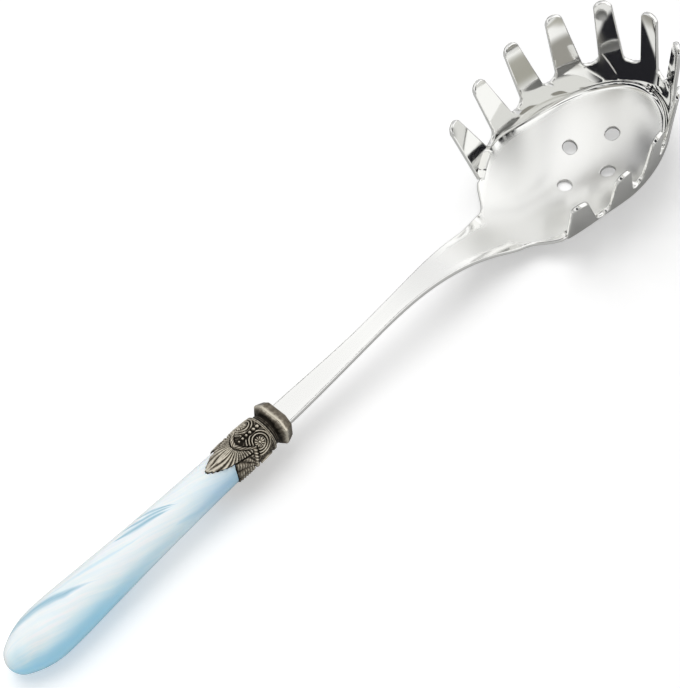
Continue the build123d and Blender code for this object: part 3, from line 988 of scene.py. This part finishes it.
def handle_place(tree, place, wave, fine):
    """Millimetres along the handle and degrees round it, both made uneven by two noises."""
    along, across, height = add_node(tree, "SeparateXYZ", place).outputs
    lean = radians(streak_lean)
    side = maths(tree, "SUBTRACT", product(tree, across, -cos(lean)), product(tree, height, sin(lean)))
    front = maths(tree, "ADD", product(tree, across, -sin(lean)), product(tree, height, cos(lean)))
    around = product(tree, maths(tree, "ARCTAN2", side, front), degrees(1))
    around = maths(tree, "ADD", around, fade(tree, wave, 0.3, 0.7, -5.0, 5.0))
    around = maths(tree, "ADD", around, fade(tree, fine, 0.3, 0.7, -1.5, 1.5))
    return maths(tree, "ADD", along, fade(tree, fine, 0.3, 0.7, -0.5, 0.5)), around


def pearl_material():
    """Pearl acrylic: near white with blue streaks under a clear gloss, with a painted sheen of light blue
    along the lower edge and the butt, and a faint painted glow.
    """
    made, tree, shader, place = material("pearl_acrylic")
    turned = add_node(tree, "Mapping", place, (-butt_x * MM, 0, -axis_height * MM)).outputs[0]
    turned = add_node(tree, "Mapping", turned, None, (0, pitch, 0), (1 / MM,) * 3).outputs[0]
    stretched = add_node(tree, "Mapping", turned, None, (0, 0, 0.6), (0.05, 0.5, 0.5)).outputs[0]
    wave, fine = noise(tree, turned, 0.06, 2.0), noise(tree, stretched, 1.0, 4.0)
    along, around = handle_place(tree, turned, wave, fine)

    sheared = maths(tree, "MULTIPLY_ADD", along, -2.8, around)
    strand = add_node(tree, "CombineXYZ", product(tree, along, 0.05), product(tree, sheared, 0.1))
    strand = noise(tree, strand.outputs[0], 1.0, 4.0, 0.6)
    feather = fade(tree, strand, 0.34, 0.56, 0.75, 1.0)
    group = streak_group()
    strong = product(tree, streaks(tree, group, along, around, strong_streaks), feather, 0.95)
    faint = product(tree, streaks(tree, group, along, around, faint_streaks), feather, 0.5)

    # Painted sheen: the lower edge and the butt turn a lighter, stronger blue, set lighter still against the
    # shade on that side.
    low = product(tree, fade(tree, around, -12.0, 48.0), fade(tree, along, 56.0, 26.0, 0.35, 1.0))
    butt = product(tree, fade(tree, along, 9.0, 1.0, 0.0, 0.5), fade(tree, around, -90.0, 10.0))
    low = product(tree, maths(tree, "MAXIMUM", low, butt), 0.95)
    near_leaf = product(tree, fade(tree, along, 56.0, 80.0), fade(tree, around, -50.0, 45.0), 0.75)

    colour = blend(tree, fade(tree, strand, 0.3, 0.65), *pearl_whites)
    for share, blue in ((faint, faint_streak_blue), (strong, strong_streak_blue),
                        (low, painted_sheen_blue), (near_leaf, leaf_end_blue)):
        colour = blend(tree, share, colour, blue)
    # The emission is a painted glow: the handle gives off a faint light in its own colour, which lifts its
    # shaded side.
    feed_all(tree, shader, {
        "Base Color": colour, "Emission Color": colour, "Emission Strength": 0.12, "Roughness": 0.18,
        "Coat Weight": 0.6, "Coat Roughness": 0.03, "Subsurface Weight": 0.5,
        "Subsurface Radius": (1, 1.2, 1.4), "Subsurface Scale": 0.004})
    return made


def antique_material():
    """Antique silver: bright where the relief is worn, dark brown patina in the recesses, with mottling. On
    the flange and the collar's neck these tones also give a painted highlight on the ridge and painted shade
    on the bevels and the neck.
    """
    made, tree, shader, place = material("antique_silver")
    mottle = noise(tree, place, 900.0, 3.0)
    level = maths(tree, "ADD", finish_share(tree), fade(tree, mottle, 0.3, 0.7, -0.12, 0.12))
    low = blend(tree, fade(tree, level, 0.05, 0.55), patina_and_shade_brown, dull_silver)
    tone = blend(tree, fade(tree, level, 0.5, 0.95), low, wear_and_highlight_silver)
    roughness = fade(tree, level, 0.1, 0.9, 0.55, 0.24)
    feed_all(tree, shader, {"Base Color": tone, "Metallic": 0.9, "Roughness": roughness})
    return made


def cement_material():
    """Pale mortar round the tang, mottled."""
    made, tree, shader, place = material("tang_cement")
    grain = noise(tree, place, 1400.0, 4.0, 0.65)
    feed_all(tree, shader, {"Base Color": blend(tree, grain, *cement_greys), "Roughness": 0.9})
    return made


def dress(piece, made):
    piece.data.materials.clear()
    piece.data.materials.append(made)


# Camera: place from the butt in millimetres, the way its right side points, how high it stands, and its lens
camera_place = (-92.662, -201.770, 421.452)
camera_turn = -47.527927
camera_rise = 53.2
focal_pixels = 1744.7
picture_height_pixels = 688
sensor_width = 36.0

# Table top and lamp: reach, place and size in metres
floor_reach = 3.0
floor_greys = ((0.86, 0.86, 0.86, 1), (0.62, 0.62, 0.61, 1))
floor_glow = 0.34
lamp_place = (-0.14, 0.26, 0.95)
lamp_size = (0.8, 0.7)
lamp_energy = 4.9

# Studio that the steel reflects. Each card has a share, a turn and a rise, its inner and outer angle,
# and a colour. The dark oval's turn counts from 180 degrees.
open_grey = (0.90, 0.90, 0.89, 1)
soft_box = (1.0, -30, 35, 55, 85, (1.12, 1.12, 1.11))
grey_wall = (1.0, 62, 28, 8, 38, (0.62, 0.62, 0.63))
high_card = (0.9, 150, 66, 6, 16, (0.42, 0.41, 0.36))
back_card = (0.95, -130, 48, 14, 25, (0.33, 0.32, 0.29))
oval_colour = (0.018, 0.018, 0.022, 1)
oval_turn, oval_half_turn = 14.0, 52.0
oval_rise, oval_half_rise = 31.5, 14.0
oval_slope = 0.25


def camera():
    """Camera at the photograph's place."""
    data = bpy.data.cameras.new("camera")
    seen = add_object("camera", data)
    place = (Vector(camera_place) + Vector((butt_x, 0, 0))) * MM
    tilt = Euler((radians(90 - camera_rise), 0, radians(camera_turn)))
    seen.matrix_world = Matrix.LocRotScale(place, tilt, None)
    data.sensor_width = sensor_width
    data.lens = focal_pixels * sensor_width / picture_height_pixels
    data.clip_start = 0.01
    bpy.context.scene.camera = seen


def floor():
    """White table top: lit so that it renders white, with its shadow kept; duller in reflections."""
    mesh = bpy.data.meshes.new("floor")
    corners = [(x * floor_reach, y * floor_reach, 0) for x, y in ((-1, -1), (1, -1), (1, 1), (-1, 1))]
    mesh.from_pydata(corners, [], [(0, 1, 2, 3)])
    piece = add_object("floor", mesh)
    made, tree, shader, _ = material("white_floor")
    path = add_node(tree, "LightPath").outputs
    feed_all(tree, shader, {
        "Base Color": blend(tree, path["Is Glossy Ray"], *floor_greys), "Roughness": 1,
        "Specular IOR Level": 0, "Emission Color": (1, 1, 1, 1),
        "Emission Strength": product(tree, path["Is Camera Ray"], floor_glow)})
    dress(piece, made)


def card(tree, way, under, share, turn, rise, inner, outer, colour):
    """Round card in the surroundings: its colour over what lies under it, by the angle from its middle."""
    turn, rise = radians(turn), radians(rise)
    made = add_node(tree, "VectorMath", way, operation="DOT_PRODUCT")
    made.inputs[1].default_value = (cos(turn) * cos(rise), sin(turn) * cos(rise), sin(rise))
    mask = fade(tree, made.outputs["Value"], cos(radians(outer)), cos(radians(inner)))
    return blend(tree, product(tree, mask, share), under, (*colour, 1))


def dark_oval(tree, way, under):
    """Dark oval in the surroundings, leaning by its slope."""
    x, y, z = add_node(tree, "SeparateXYZ", way).outputs
    turn = maths(tree, "ARCTAN2", product(tree, y, -1.0), product(tree, x, -1.0))
    rise = maths(tree, "MULTIPLY_ADD", turn, oval_slope, maths(tree, "ARCSINE", z))
    distance = 0.0
    for angle, middle, half in ((turn, oval_turn, oval_half_turn), (rise, oval_rise, oval_half_rise)):
        share = maths(tree, "DIVIDE", maths(tree, "SUBTRACT", angle, radians(middle)), radians(half))
        distance = maths(tree, "MULTIPLY_ADD", share, share, distance)
    return blend(tree, fade(tree, distance, 1.25, 0.8), under, oval_colour)


def surroundings():
    """White sky for diffuse light; reflections see a studio of soft box, grey walls and a dark oval."""
    world = bpy.data.worlds.new("studio")
    bpy.context.scene.world = world
    world.use_nodes = True
    tree = world.node_tree
    way = add_node(tree, "TexCoord").outputs["Generated"]
    seen = open_grey
    for row in (soft_box, grey_wall, high_card):
        seen = card(tree, way, seen, *row)
    seen = card(tree, way, dark_oval(tree, way, seen), *back_card)
    path = add_node(tree, "LightPath").outputs
    plain = add_node(tree, "Background", (1, 1, 1, 1))
    feed(tree, plain.inputs["Strength"], fade(tree, path["Is Camera Ray"], 0.0, 1.0, 0.42, 1.0))
    studio = tree.nodes["Background"]
    feed(tree, studio.inputs["Color"], seen)
    mixed = add_node(tree, "MixShader", path["Is Glossy Ray"], plain.outputs[0], studio.outputs[0])
    feed(tree, tree.nodes["World Output"].inputs["Surface"], mixed.outputs[0])


def lamp():
    """Soft lamp over the object, which reflections don't show."""
    data = bpy.data.lights.new("softbox", "AREA")
    data.shape = "RECTANGLE"
    data.size, data.size_y = lamp_size
    data.energy = lamp_energy
    made = add_object("softbox", data)
    made.location = lamp_place
    made.rotation_mode = "QUATERNION"
    made.rotation_quaternion = (-made.location).to_track_quat("-Z", "Y")
    made.visible_glossy = False


camera()
floor()
surroundings()
lamp()
dress(server_head(), steel_material())
dress(handle(), pearl_material())
antique = antique_material()
dress(collar_sleeve(), antique)
dress(collar_flange(), antique)
dress(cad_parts["tang_cement"], cement_material())
bpy.context.scene.view_settings.view_transform = "Standard"
